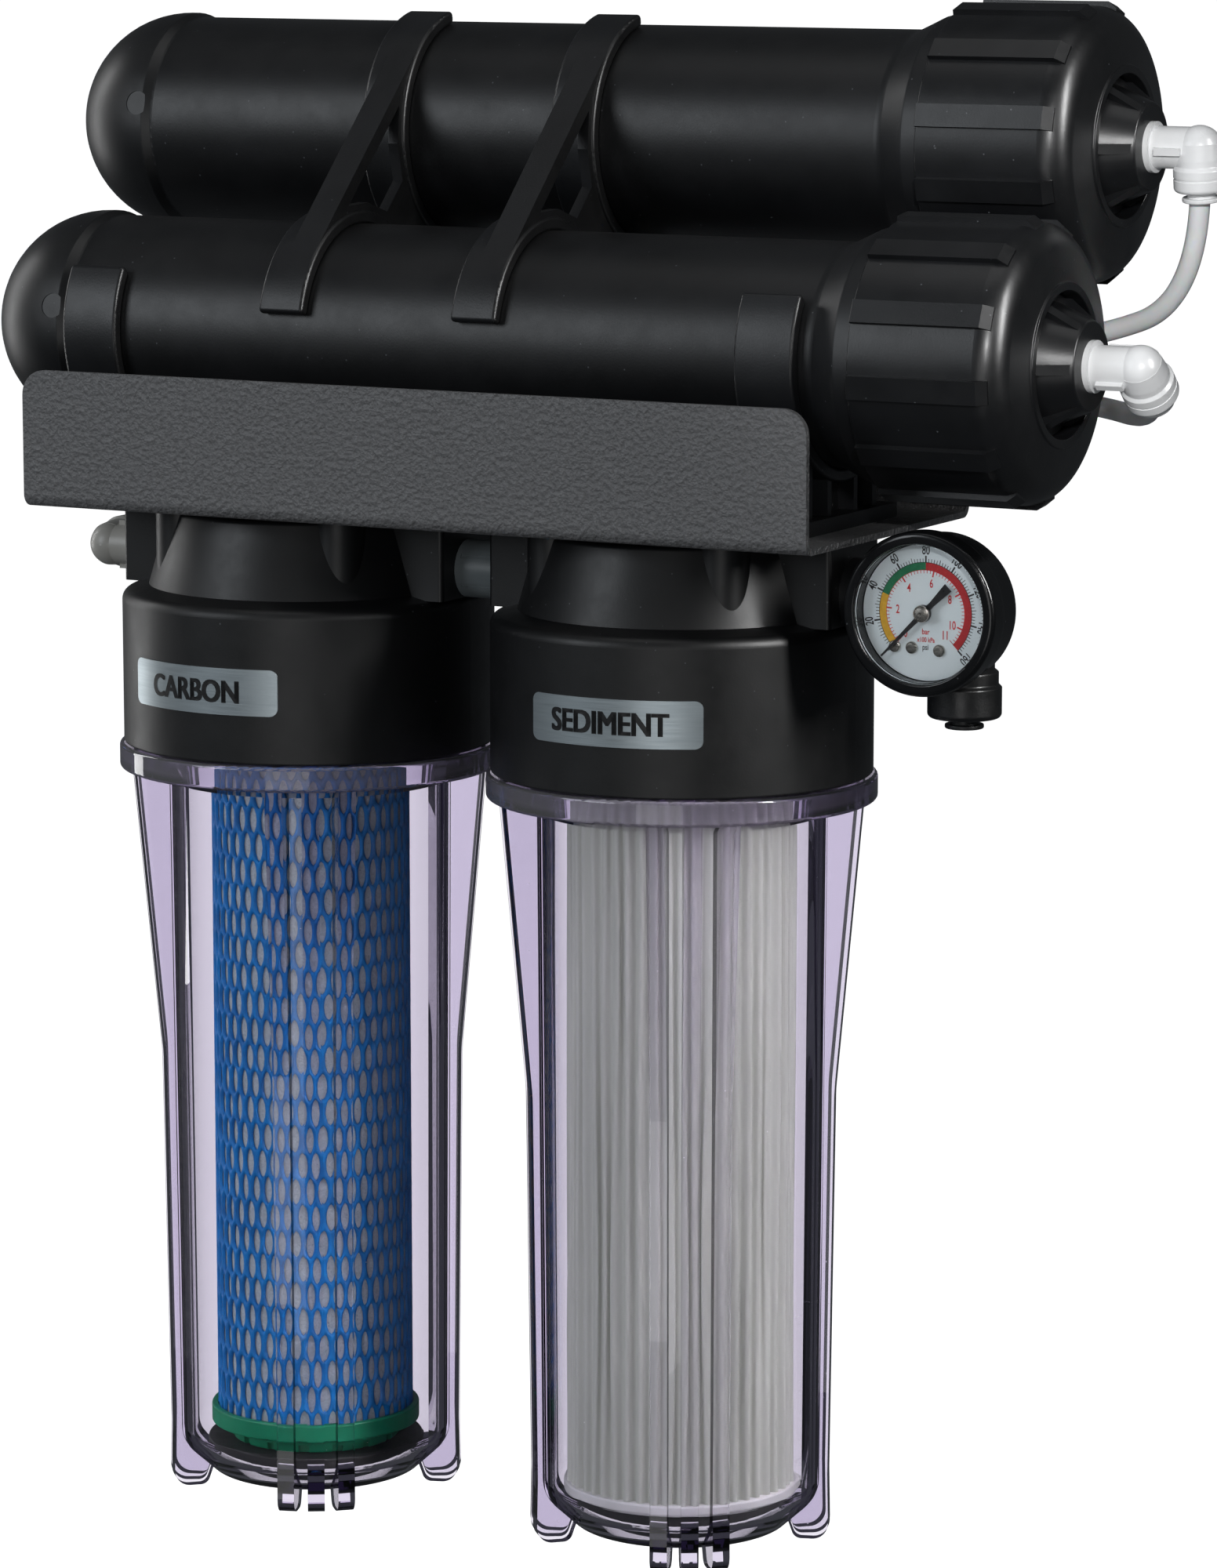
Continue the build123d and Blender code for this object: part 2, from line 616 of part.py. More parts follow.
def make_y_fitting():
    """Barbed Y connector that splits the feed between the two membrane housings."""
    barb = turned([(0, 0), (3.6, 0), (3.6, 3.8), (2.0, 3.8), (2.0, 9), (0, 9)])
    seat = block((-6, -4.2, -y_spread - 4.2), (4, 4.2, y_spread + 4.2))
    body = fillet(seat.edges().filter_by(Axis.Y), 3.5)
    body += along_x(rod(4.4, -10, 4))
    for side in (-1, 1):
        body += Pos(2, 0, side * y_spread) * along_x(rod(4.4, 0, 8))
    parts = [Pos(10, 0, side * y_spread) * along_x(barb) for side in (-1, 1)]
    parts.append(Pos(-10, 0, 0) * Rot(0, 0, 180) * along_x(barb))
    for part in parts:
        body += part
    for side in (-1, 1):
        body -= Pos(0, 0, side * y_spread) * along_x(rod(1.3, 0, 25))
    body -= along_x(rod(1.3, -25, 0)) + rod(1.3, -y_spread, y_spread)
    return Pos(*y_fitting) * body


# ---- inlet tee and pressure gauge ---------------------------------------------------------------
def make_gauge_tee():
    """Black inlet tee: screwed into the head, gauge to the front, push-in tube leg downwards."""
    start = head_x + port_reach
    run = along_x(rod(9, start - gauge_x + 5, 2)) + along_x(rod(11, start - gauge_x, start - gauge_x + 6))
    stub = along_x(rod(port_bore_r - 0.1, start - gauge_x - 11, start - gauge_x))
    down = turned([(0, 9), (9, 9, 2), (9, -20), (10.2, -21, 0.6), (10.2, -24.6, 0.6),
                   (11.2, -25.6, 0.5), (11.2, -35, 1.6), (0, -35)])
    front = Rot(90, 0, 0) * rod(8.4, 0, 11.6)
    body = run + stub + down + front
    body -= along_x(rod(3, start - gauge_x - 12, 0)) + rod(2.1, -35, 0)
    body -= Rot(90, 0, 0) * rod(4.6, 2, 13)
    body -= Pos(0, 0, -35 + leg_length) * rod(hose_r + 0.08, -leg_length - 1, -leg_length + seat_depth)
    body -= Pos(0, 0, -35 + leg_length) * rod(4.5, -leg_length - 1, -leg_length + 7)
    return tee_place() * body


def tee_place():
    return Pos(gauge_x, head_y, port_z)


def gauge_place():
    """Gauge parts are built facing +Z, then turned to face the front."""
    return Pos(gauge_x, head_y - gauge_face_forward, port_z) * Rot(90, 0, 0)


def make_gauge_case():
    """Round case with the threaded stem at its back."""
    case = turned([(0, -22), (22.5, -22, 2), (22.5, -6.2), (21.3, -6.2), (21.3, -1.8), (20.4, -1.8),
                   (20.4, -20.4), (0, -20.4)])
    case += turned([(0, -20.6), (8, -20.6), (8, -22.3), (4.5, -22.3), (4.5, -31.6), (0, -31.6)])
    case -= rod(1.5, -33, -19)
    return gauge_place() * case


def make_gauge_bezel():
    """Front ring that holds the lens."""
    bezel = turned([(22.6, -8), (gauge_r, -8, 0.8), (gauge_r, 0, 1.6), (21, 0, 0.5), (20.6, -1.6),
                    (21.4, -1.6), (21.4, -6), (22.6, -6)])
    return gauge_place() * bezel


def make_gauge_lens():
    """Clear window behind the bezel's lip."""
    return gauge_place() * rod(20.5, -1.6, -0.6)


def make_gauge_dial():
    """Printed dial plate."""
    return gauge_place() * (rod(20.2, -6.4, -5.8) - rod(1.6, -7, -5) - dial_screw_holes())


def dial_screw_points():
    return [(-9.8, -10.5), (-4.3, -10.6), (4.6, -11.0)]


def dial_screw_holes():
    holes = [Pos(x, y, 0) * rod(0.9, -8, -5) for x, y in dial_screw_points()]
    return holes[0] + holes[1] + holes[2]


def make_dial_screws():
    """Three domed screws on the dial."""
    screw = rod(0.8, -9, -5.8) + turned([(0, -5.8), (1.9, -5.8), (1.9, -4.7, 0.9), (0, -4.7)])
    screw -= block((-1.4, -0.2, -5.2), (1.4, 0.2, -4))
    return gauge_place() * group([Pos(x, y, 0) * screw for x, y in dial_screw_points()])


def make_gauge_needle():
    """Pointer at zero: slim tip, square tail that widens to its end, hub and spindle."""
    pointer = profile([(19, 0.25), (4, 0.7), (0, 1), (-4, 0.8), (-11.4, 1.45), (-11.4, -1.45),
                       (-4, -0.8), (0, -1), (4, -0.7), (19, -0.25)])
    needle = Rot(0, 0, needle_zero) * (Pos(0, 0, -4.2) * extrude(pointer, 0.5))
    needle += turned([(0, -4.2), (2.6, -4.2), (2.6, -2.6, 0.8), (0, -2.6)])
    needle += rod(1.4, -11, -4)
    return gauge_place() * needle


def make_bourdon_tube():
    """Curved pressure tube inside the case, from the stem block round to its free end."""
    curve = Rot(0, 0, -60) * (Torus(14.5, 1.6) & block((-30, -30, -5), (30, 30, 5)))
    gap = extrude(make_face(Polyline((0, 0), (40, 4), (40, -22), close=True)), 4, both=True)
    tube = curve - Rot(0, 0, -60) * gap
    return gauge_place() * (Pos(0, 0, -15) * tube)


def make_gauge_movement():
    """Plate and bearing block that carry the needle's spindle."""
    plate = rod(7.5, -10.4, -9.4) + block((-4, -4, -20.3), (4, 4, -11.6))
    plate += block((-7, -1.5, -11.8), (7, 1.5, -10.2))
    plate -= rod(1.45, -11.2, -8)
    return gauge_place() * plate


# ---- build --------------------------------------------------------------------------------------
def build():
    """Every node of the unit by name."""
    nodes = {
        "bracket": make_bracket(),
        "head_screws": make_head_screws(),
        "clip_screws": make_clip_screws(),
        "carbon_head": make_head(-1),
        "sediment_head": make_head(1),
        "port_nipple": make_port_nipple(),
        "carbon_label": make_label(-1, -6.0),
        "sediment_label": make_label(1, 6.0),
        "outlet_elbow": outlet_at * make_elbow(),
        "outlet_collet": outlet_at * make_collet(),
        "gauge_tee": make_gauge_tee(),
        "inlet_collet": tee_place() * Pos(0, 0, -35 + leg_length) * make_collet(),
        "gauge_case": make_gauge_case(),
        "gauge_bezel": make_gauge_bezel(),
        "gauge_lens": make_gauge_lens(),
        "gauge_dial": make_gauge_dial(),
        "gauge_dial_screws": make_dial_screws(),
        "gauge_needle": make_gauge_needle(),
        "gauge_bourdon_tube": make_bourdon_tube(),
        "gauge_movement": make_gauge_movement(),
        "left_shelf_clip": make_shelf_clip(shelf_clip_x[0]),
        "right_shelf_clip": make_shelf_clip(shelf_clip_x[1]),
        "left_double_clip": make_double_clip(double_clip_x[0]),
        "right_double_clip": make_double_clip(double_clip_x[1]),
        "y_connector": make_y_fitting(),
        "lower_hose": make_hose("lower_hose", lower_hose_points()),
        "upper_hose": make_hose("upper_hose", upper_hose_points()),
        "feed_hose": make_hose("feed_hose", feed_hose_points()),
    }
    for name, axis, shift, phase, elbow_at in (
            ("lower", lower_axis, 0.0, lower_nut_phase, lower_elbow_at),
            ("upper", upper_axis, upper_shift, upper_nut_phase, upper_elbow_at)):
        nodes[name + "_membrane_housing"] = make_membrane_housing(axis, shift)
        nodes[name + "_end_plug"] = make_end_plug(axis, shift)
        nodes[name + "_plug_seal"] = make_plug_seal(axis, shift)
        nodes[name + "_cap_nut"] = make_cap_nut(axis, shift, phase)
        nodes[name + "_membrane"] = make_membrane(axis, shift)
        nodes[name + "_brine_seal"] = make_brine_seal(axis, shift)
        nodes[name + "_elbow"] = elbow_at * make_elbow()
        nodes[name + "_collet"] = elbow_at * make_collet()
    for name, side in (("carbon", -1), ("sediment", 1)):
        nodes[name + "_sump"] = make_sump(side)
        nodes[name + "_sump_seal"] = make_sump_seal(side)
        nodes[name + "_base_pad"] = make_base_pad(side)
        nodes[name + "_gasket"] = make_gasket(side)
    nodes["carbon_end_caps"] = make_carbon_caps()
    nodes["carbon_block"] = carbon_tube(13.8, carbon_r - 1.6)
    nodes["carbon_wrap"] = carbon_tube(carbon_r - 1.5, carbon_r - 0.6)
    nodes["carbon_net"] = carbon_tube(carbon_r - 0.5, carbon_r + 0.5)
    nodes["sediment_pleats"] = make_pleated_media()
    nodes["sediment_core"] = make_pleat_core()
    nodes["sediment_end_caps"] = make_pleat_caps()
    return nodes


if __name__ == "__main__":
    os.makedirs("parts", exist_ok=True)
    for name, shape in build().items():
        export_step(shape, os.path.join("parts", name + ".step"))
        print(name, len(shape.solids()))
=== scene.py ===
"""Looks of a wall-hung reverse osmosis unit: materials for its CAD pieces, and the net, pleats, tubing,
lettering and dial print that replace or complete them. Lengths are in metres, in the frame of the CAD.
"""
import math
import random

import bpy
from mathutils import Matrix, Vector


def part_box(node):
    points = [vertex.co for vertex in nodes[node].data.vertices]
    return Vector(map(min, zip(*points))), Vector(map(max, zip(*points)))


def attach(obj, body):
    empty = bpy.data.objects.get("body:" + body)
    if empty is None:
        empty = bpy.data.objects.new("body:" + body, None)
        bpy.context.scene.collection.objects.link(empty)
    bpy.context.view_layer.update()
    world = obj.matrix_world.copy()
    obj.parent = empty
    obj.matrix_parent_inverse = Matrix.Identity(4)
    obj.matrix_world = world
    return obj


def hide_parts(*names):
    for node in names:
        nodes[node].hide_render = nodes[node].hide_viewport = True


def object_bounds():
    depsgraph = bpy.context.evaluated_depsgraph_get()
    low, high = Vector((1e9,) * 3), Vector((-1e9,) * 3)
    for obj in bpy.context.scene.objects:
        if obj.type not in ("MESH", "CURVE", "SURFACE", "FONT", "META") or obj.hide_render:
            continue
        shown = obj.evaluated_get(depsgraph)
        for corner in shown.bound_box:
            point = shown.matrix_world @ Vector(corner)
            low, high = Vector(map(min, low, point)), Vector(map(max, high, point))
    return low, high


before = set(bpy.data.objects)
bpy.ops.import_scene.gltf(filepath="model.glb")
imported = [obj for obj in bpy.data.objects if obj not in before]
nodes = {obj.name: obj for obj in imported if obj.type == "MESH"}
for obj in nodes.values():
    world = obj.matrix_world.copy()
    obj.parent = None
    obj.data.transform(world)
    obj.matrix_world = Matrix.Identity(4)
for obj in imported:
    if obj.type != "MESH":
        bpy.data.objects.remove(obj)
cad_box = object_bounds()
random.seed(14)

MM = 0.001


# ---- camera ---------------------------------------------------------------------------------------
CAMERA_AT = (0.85887, -1.58943, 0.17455)
CAMERA_TARGET = (0.04006, -0.05593, -0.11511)
LENS_LENGTH = 130.22
SENSOR_WIDTH = 36.0


def make_camera():
    """Long lens, from the front right and a little above."""
    data = bpy.data.cameras.new("camera")
    data.lens = LENS_LENGTH
    data.sensor_width = SENSOR_WIDTH
    data.clip_start = 0.05
    data.clip_end = 100.0
    camera = bpy.data.objects.new("camera", data)
    camera.location = CAMERA_AT
    aim = Vector(CAMERA_TARGET) - camera.location
    camera.rotation_mode = "QUATERNION"
    camera.rotation_quaternion = aim.to_track_quat("-Z", "Y")
    bpy.context.scene.collection.objects.link(camera)
    bpy.context.scene.camera = camera


# ---- mesh helpers ---------------------------------------------------------------------------------
def add_mesh(name, verts, faces, smooth=True):
    """A linked mesh object."""
    mesh = bpy.data.meshes.new(name)
    mesh.from_pydata([tuple(v) for v in verts], [], faces)
    mesh.validate()
    mesh.update()
    if smooth:
        mesh.polygons.foreach_set("use_smooth", [True] * len(mesh.polygons))
    obj = bpy.data.objects.new(name, mesh)
    bpy.context.scene.collection.objects.link(obj)
    return obj


def lattice_faces(rings, around):
    """Quads between closed rings of vertices stored one after another."""
    faces = []
    for ring in range(rings - 1):
        for at in range(around):
            after = (at + 1) % around
            faces.append((ring * around + at, ring * around + after,
                          (ring + 1) * around + after, (ring + 1) * around + at))
    return faces


def on_circle(centre, reach, angle, level):
    """A point at a bearing round a vertical axis."""
    return (centre.x + reach * math.cos(angle), centre.y + reach * math.sin(angle), level)


def middle_of(node):
    """Centre of a CAD node's box."""
    low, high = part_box(node)
    return (low + high) / 2


def paint(obj, material):
    """Give every face of an object one material."""
    if not obj.data.materials:
        obj.data.materials.append(material)
    for slot in obj.material_slots:
        slot.material = material


# ---- materials ------------------------------------------------------------------------------------
class Look:
    """A material built round one Principled shader, in the object's own coordinates."""

    def __init__(self, name, **sockets):
        self.material = bpy.data.materials.new(name)
        self.material.use_nodes = True
        self.tree = self.material.node_tree
        self.shader = self.tree.nodes["Principled BSDF"]
        self.coords = self.tree.nodes.new("ShaderNodeTexCoord").outputs["Object"]
        self.normal = None
        for socket, value in sockets.items():
            self.shader.inputs[socket.replace("_", " ")].default_value = value

    def stretched(self, factors):
        """Coordinates scaled differently along each axis."""
        mapping = self.tree.nodes.new("ShaderNodeMapping")
        mapping.inputs["Scale"].default_value = factors
        self.tree.links.new(self.coords, mapping.inputs["Vector"])
        return mapping.outputs["Vector"]

    def noise(self, scale, detail=3.0, roughness=0.55, stretch=None, distortion=0.0):
        node = self.tree.nodes.new("ShaderNodeTexNoise")
        node.inputs["Scale"].default_value = scale
        node.inputs["Detail"].default_value = detail
        node.inputs["Roughness"].default_value = roughness
        node.inputs["Distortion"].default_value = distortion
        coords = self.stretched(stretch) if stretch else self.coords
        self.tree.links.new(coords, node.inputs["Vector"])
        return node.outputs["Fac"]

    def specks(self, scale, size, share):
        """Mask of small dots: one in some of the cells of a random pattern."""
        node = self.tree.nodes.new("ShaderNodeTexVoronoi")
        node.inputs["Scale"].default_value = scale
        self.tree.links.new(self.coords, node.inputs["Vector"])
        dot = self.ramp(node.outputs["Distance"], (size * 0.5, grey(1)), (size, grey(0)))
        chosen = self.ramp(node.outputs["Color"], (1 - share, grey(0)), (1 - share + 0.03, grey(1)))
        both = self.tree.nodes.new("ShaderNodeMath")
        both.operation = "MULTIPLY"
        self.tree.links.new(dot, both.inputs[0])
        self.tree.links.new(chosen, both.inputs[1])
        return both.outputs["Value"]

    def ramp(self, fac, *stops):
        node = self.tree.nodes.new("ShaderNodeValToRGB")
        elements = node.color_ramp.elements
        while len(elements) < len(stops):
            elements.new(0.5)
        for element, (position, colour) in zip(elements, stops):
            element.position = position
            element.color = colour
        self.tree.links.new(fac, node.inputs["Fac"])
        return node.outputs["Color"]

    def mix(self, fac, first, second):
        node = self.tree.nodes.new("ShaderNodeMix")
        node.data_type = "RGBA"
        self.tree.links.new(fac, node.inputs[0])
        for value, socket in ((first, node.inputs[6]), (second, node.inputs[7])):
            if isinstance(value, tuple):
                socket.default_value = value
            else:
                self.tree.links.new(value, socket)
        return node.outputs[2]

    def feed(self, output, socket):
        self.tree.links.new(output, self.shader.inputs[socket])

    def colour(self, fac, dark, light, at=(0.3, 0.7)):
        """Base colour between two tones."""
        self.feed(self.ramp(fac, (at[0], dark), (at[1], light)), "Base Color")

    def gloss(self, fac, low, high):
        """Roughness between two values."""
        self.feed(self.ramp(fac, (0.3, grey(low)), (0.7, grey(high))), "Roughness")

    def bump(self, height, strength, depth):
        """Add relief of the given depth on top of any there already."""
        node = self.tree.nodes.new("ShaderNodeBump")
        node.inputs["Strength"].default_value = strength
        node.inputs["Distance"].default_value = depth
        self.tree.links.new(height, node.inputs["Height"])
        if self.normal is not None:
            self.tree.links.new(self.normal, node.inputs["Normal"])
        self.normal = node.outputs["Normal"]
        self.feed(self.normal, "Normal")


def grey(value):
    return (value, value, value, 1.0)


def rgb(red, green, blue):
    return (red, green, blue, 1.0)


def moulded(name, dark, light, rough, grain=0.15, dust=None, **sockets):
    """Moulded plastic: cloudy tone, uneven gloss, a fine grain and, if asked, specks of dust."""
    look = Look(name, **sockets)
    tone = look.ramp(look.noise(42, 4), (0.36, dark), (0.68, light))
    if dust:
        tone = look.mix(look.specks(230, 0.075, 0.42), tone, dust)
        tone = look.mix(look.specks(120, 0.045, 0.3), tone, dust)
    look.feed(tone, "Base Color")
    look.gloss(look.noise(75, 6, 0.7), *rough)
    look.bump(look.noise(1500, 3), grain, 0.00012)
    look.bump(look.noise(60, 2), 0.2, 0.0001)
    return look.material


def black(name, level, rough, grain):
    """Black moulded plastic with a trace of blue and pale specks of dust."""
    dark = rgb(level, 1.06 * level, 1.22 * level)
    light = rgb(1.65 * level, 1.75 * level, 2.0 * level)
    return moulded(name, dark, light, rough, grain, rgb(0.1, 0.105, 0.115))


def metal(name, colour, rough, brushed=(1, 1, 1)):
    """Metal with a brushed or turned finish."""
    look = Look(name, Metallic=1.0)
    dull = tuple(0.8 * c for c in colour[:3]) + (1.0,)
    look.colour(look.noise(260, 4, 0.6, brushed), dull, colour)
    look.gloss(look.noise(420, 4, 0.6, brushed), *rough)
    look.bump(look.noise(900, 3, 0.6, brushed), 0.12, 0.0001)
    return look.material


def powder_coat():
    """Dark textured powder coating on sheet steel."""
    look = Look("powder_coat", Specular_IOR_Level=0.6)
    grain = look.noise(620, 2, 0.5)
    tone = look.ramp(grain, (0.36, rgb(0.155, 0.155, 0.158)), (0.68, rgb(0.2, 0.2, 0.204)))
    tone = look.mix(look.specks(260, 0.05, 0.12), tone, rgb(0.22, 0.22, 0.225))
    look.feed(tone, "Base Color")
    look.gloss(look.noise(140, 4), 0.46, 0.56)
    look.bump(grain, 0.95, 0.0012)
    look.bump(look.noise(1500, 2), 0.25, 0.0002)
    return look.material


FLANGE_BELOW_NECK_TOP = 30.2 * MM  # from the top of the neck to the flange's underside
FLANGE_CLARITY = 0.88


def clear_bowl():
    """Clear polycarbonate with a faint lilac cast that deepens where it is thick."""
    look = Look("clear_bowl", Transmission_Weight=1.0, IOR=1.5)
    look.colour(look.noise(30, 3), rgb(0.93, 0.92, 0.955), rgb(0.945, 0.935, 0.965))
    haze = look.ramp(look.noise(55, 5, 0.7), (0.45, grey(0.005)), (0.8, grey(0.02)))
    look.feed(look.mix(look.specks(150, 0.05, 0.3), haze, grey(0.3)), "Roughness")
    look.bump(look.noise(18, 2, 0.4, (1, 1, 0.35)), 0.12, 0.0006)
    # the flange is cloudier than the wall, so the black head doesn't darken it
    neck_top = max(vertex.co.z for vertex in nodes["carbon_sump"].data.vertices)
    level = look.tree.nodes.new("ShaderNodeSeparateXYZ")
    look.tree.links.new(look.coords, level.inputs[0])
    cloud = look.tree.nodes.new("ShaderNodeMapRange")
    for socket, value in (("From Min", neck_top - FLANGE_BELOW_NECK_TOP - 1 * MM),
                          ("From Max", neck_top - FLANGE_BELOW_NECK_TOP + 1 * MM),
                          ("To Min", 1.0), ("To Max", FLANGE_CLARITY)):
        cloud.inputs[socket].default_value = value
    look.tree.links.new(level.outputs["Z"], cloud.inputs["Value"])
    look.feed(cloud.outputs["Result"], "Transmission Weight")
    depth = look.tree.nodes.new("ShaderNodeVolumeAbsorption")
    depth.inputs["Color"].default_value = rgb(0.62, 0.5, 0.78)
    depth.inputs["Density"].default_value = 48.0
    look.tree.links.new(depth.outputs["Volume"], look.tree.nodes["Material Output"].inputs["Volume"])
    return look.material


def gauge_window():
    """Clear gauge lens with a trace of grease."""
    look = Look("gauge_window", Transmission_Weight=1.0, IOR=1.15)
    look.colour(look.noise(120, 3), grey(0.975), grey(1.0))
    look.gloss(look.noise(90, 4), 0.015, 0.06)
    return look.material


def foil():
    """Brushed metallised label stock."""
    look = Look("foil", Metallic=0.75)
    look.colour(look.noise(60, 5, 0.65, (1, 1, 26)), rgb(0.4, 0.46, 0.49), rgb(0.47, 0.53, 0.555))
    look.gloss(look.noise(70, 4, 0.6, (1, 1, 30)), 0.34, 0.46)
    look.bump(look.noise(90, 3, 0.6, (1, 1, 30)), 0.1, 0.0001)
    return look.material


def fleece():
    """Non-woven wrap with dark flecks of carbon behind its fibres; its pale tone is darkened as painted
    shade for the light the clear bowl holds back.
    """
    look = Look("fleece", Roughness=0.92, Specular_IOR_Level=0.2)
    fibres = look.noise(900, 4, 0.75, distortion=1.2)
    # painted shade: both tones sit below the wrap's own pale white, standing in for the light lost through
    # the clear bowl
    tone = look.ramp(fibres, (0.32, rgb(0.36, 0.41, 0.42)), (0.62, rgb(0.56, 0.62, 0.62)))
    tone = look.mix(look.specks(700, 0.24, 0.35), tone, rgb(0.3, 0.34, 0.36))
    look.feed(tone, "Base Color")
    look.bump(fibres, 0.7, 0.0004)
    return look.material


def net_plastic():
    """Blue extruded polyethylene net."""
    look = Look("net_plastic", Specular_IOR_Level=0.25)
    look.colour(look.noise(130, 4), rgb(0.0, 0.12, 0.37), rgb(0.0, 0.2, 0.55))
    look.gloss(look.noise(300, 4), 0.4, 0.55)
    look.bump(look.noise(1200, 3), 0.25, 0.0002)
    return look.material


def paper():
    """Pleated filter paper, a little uneven and faintly ribbed; its off-white tone is darkened as painted
    shade for the light the clear bowl holds back.
    """
    look = Look("paper", Roughness=0.85, Specular_IOR_Level=0.2)
    # painted shade: the paper's own off-white is greyed down to stand in for the light lost through the
    # clear bowl, which casts no shadow
    look.colour(look.noise(24, 5, 0.6, (1, 1, 0.3)), rgb(0.49, 0.51, 0.45), rgb(0.58, 0.6, 0.53))
    look.bump(look.noise(1300, 4, 0.7), 0.35, 0.0002)
    look.bump(look.noise(160, 3, 0.5, (1, 1, 0.05)), 0.4, 0.0005)
    return look.material


def soft_tubing():
    """Milky quarter-inch polyethylene tubing."""
    look = Look("soft_tubing", Specular_IOR_Level=0.45, Subsurface_Weight=0.25, Subsurface_Scale=0.004)
    look.colour(look.noise(80, 4), rgb(0.78, 0.795, 0.8), rgb(0.87, 0.875, 0.88))
    look.gloss(look.noise(140, 4), 0.3, 0.42)
    look.bump(look.noise(300, 3, 0.6), 0.1, 0.0001)
    return look.material


def printed(name, colour, rough=0.5):
    """Printing ink with slightly uneven cover."""
    look = Look(name)
    thin = tuple(min(1.0, 1.25 * c + 0.004) for c in colour[:3]) + (1.0,)
    look.colour(look.noise(700, 3), colour, thin)
    look.gloss(look.noise(500, 3), rough - 0.08, rough + 0.08)
    return look.material


def finish_cad():
    """Put a material on every CAD node."""
    housing = black("housing_black", 0.0052, (0.38, 0.46), 0.2)
    head = black("head_black", 0.004, (0.4, 0.5), 0.15)
    nut = black("nut_black", 0.005, (0.3, 0.38), 0.15)
    clip = black("clip_black", 0.008, (0.36, 0.44), 0.3)
    fitting = black("fitting_black", 0.006, (0.28, 0.5), 0.3)
    gauge = black("gauge_black", 0.005, (0.16, 0.26), 0.1)
    white = moulded("acetal_white", rgb(0.86, 0.865, 0.87), rgb(0.93, 0.935, 0.94), (0.24, 0.36), 0.12)
    warm_grey = moulded("fitting_grey", rgb(0.4, 0.39, 0.36), rgb(0.5, 0.49, 0.46), (0.3, 0.44), 0.2)
    nipple = moulded("nipple_grey", rgb(0.15, 0.175, 0.185), rgb(0.21, 0.235, 0.245), (0.3, 0.44))
    rubber = moulded("rubber", grey(0.006), grey(0.011), (0.55, 0.7), 0.5)
    green = moulded("cap_green", rgb(0.001, 0.2, 0.09), rgb(0.002, 0.27, 0.125), (0.3, 0.45), 0.25)
    core = moulded("core_white", rgb(0.62, 0.62, 0.6), rgb(0.74, 0.74, 0.72), (0.4, 0.55), 0.2)
    wrap = moulded("membrane_tape", rgb(0.5, 0.52, 0.55), rgb(0.66, 0.68, 0.7), (0.22, 0.36), 0.3)
    charcoal = moulded("charcoal", grey(0.004), grey(0.02), (0.8, 0.95), 0.9)
    plate = moulded("dial_plate", rgb(0.64, 0.72, 0.75), rgb(0.7, 0.77, 0.8), (0.4, 0.5), 0.05)
    steel = metal("screw_steel", rgb(0.5, 0.5, 0.5), (0.28, 0.42))
    brass = metal("brass", rgb(0.62, 0.45, 0.2), (0.25, 0.4))
    bright = metal("bright_metal", rgb(0.62, 0.6, 0.55), (0.16, 0.28))
    finishes = {
        powder_coat(): ["bracket"],
        steel: ["head_screws", "clip_screws"],
        head: ["carbon_head", "sediment_head"],
        housing: ["lower_membrane_housing", "upper_membrane_housing"],
        nut: ["lower_cap_nut", "upper_cap_nut", "lower_end_plug", "upper_end_plug"],
        clip: ["left_shelf_clip", "right_shelf_clip", "left_double_clip", "right_double_clip"],
        fitting: ["gauge_tee", "inlet_collet"],
        gauge: ["gauge_case", "gauge_bezel"],
        white: ["lower_elbow", "upper_elbow", "lower_collet", "upper_collet"],
        warm_grey: ["outlet_elbow", "outlet_collet", "y_connector"],
        nipple: ["port_nipple"],
        foil(): ["carbon_label", "sediment_label"],
        gauge_window(): ["gauge_lens"],
        plate: ["gauge_dial"],
        bright: ["gauge_dial_screws"],
        printed("needle_black", rgb(0.006, 0.006, 0.007), 0.35): ["gauge_needle"],
        brass: ["gauge_bourdon_tube", "gauge_movement"],
        clear_bowl(): ["carbon_sump", "sediment_sump"],
        rubber: ["carbon_sump_seal", "sediment_sump_seal", "carbon_base_pad", "sediment_base_pad",
                 "carbon_gasket", "sediment_gasket", "lower_plug_seal", "upper_plug_seal",
                 "lower_brine_seal", "upper_brine_seal"],
        green: ["carbon_end_caps"],
        charcoal: ["carbon_block"],
        fleece(): ["carbon_wrap"],
        wrap: ["lower_membrane", "upper_membrane"],
        core: ["sediment_core", "sediment_end_caps"],
    }
    for material, names in finishes.items():
        for name in names:
            paint(nodes[name], material)
    # light reaches the cartridges and the dial straight through their clear covers; the paper and the
    # fleece wrap carry painted shade in place of the bowls' shadow
    for name in ("carbon_sump", "sediment_sump", "gauge_lens"):
        nodes[name].visible_shadow = False


# ---- tubing ---------------------------------------------------------------------------------------
TUBE_DIAMETER = 6.35 * MM
# control points of the tubes' centre lines, in millimetres
LOWER_HOSE = [(217.3, -55.806, 19.954), (217.3, -38.254, 3.586), (166.0, 21.0, 3.3), (134.0, 22.0, 4.8)]
UPPER_HOSE = [(208.3, 6.918, 79.829), (208.3, 12.902, 37.248), (162.0, 23.0, 20.7), (134.0, 22.0, 19.2)]
FEED_HOSE = [(-140.75, -55.0, -50.0), (-140.75, 12.0, -50.0), (-66.0, 27.0, -44.0), (18.0, 25.0, 4.0),
             (70.0, 22.0, 11.0), (90.0, 22.0, 12.0)]


